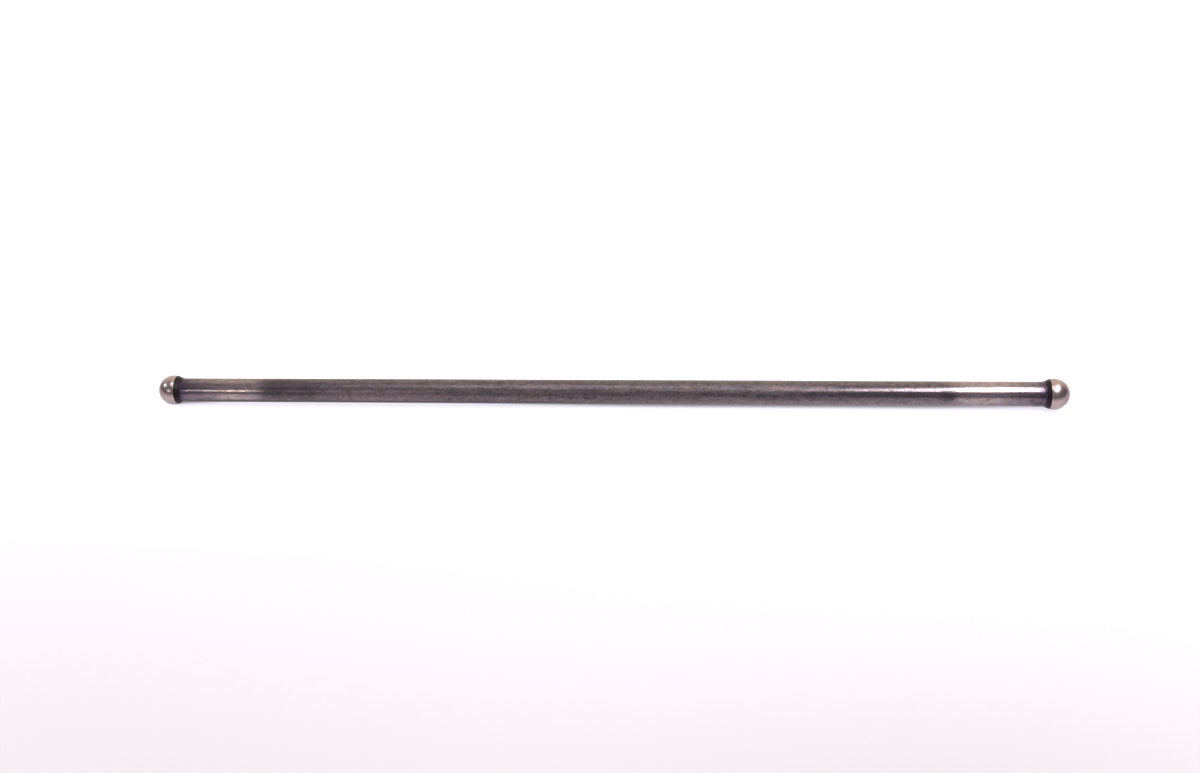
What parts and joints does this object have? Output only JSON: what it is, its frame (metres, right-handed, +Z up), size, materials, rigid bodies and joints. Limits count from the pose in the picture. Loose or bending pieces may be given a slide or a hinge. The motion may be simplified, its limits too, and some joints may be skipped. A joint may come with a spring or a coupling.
{
  "type": "engine pushrod",
  "caption": "Slim solid steel rod with a ground ball headed on each end, which carries the tappet's push up to the rocker arm of an overhead-valve engine.",
  "frame": {"origin": "on the rod's axis, half way between the two ball tips", "axes": "+X along the rod from its tappet end to its rocker end, +Z up as the rod lies on a table"},
  "size_m": [0.225, 0.0074, 0.0074],
  "materials": {
    "steel": "drawn steel darkened by use and oil, with rubbed end zones, black necks and polished balls"
  },
  "bodies": {
    "root": {"pushrod": "steel"}
  },
  "joints": []
}
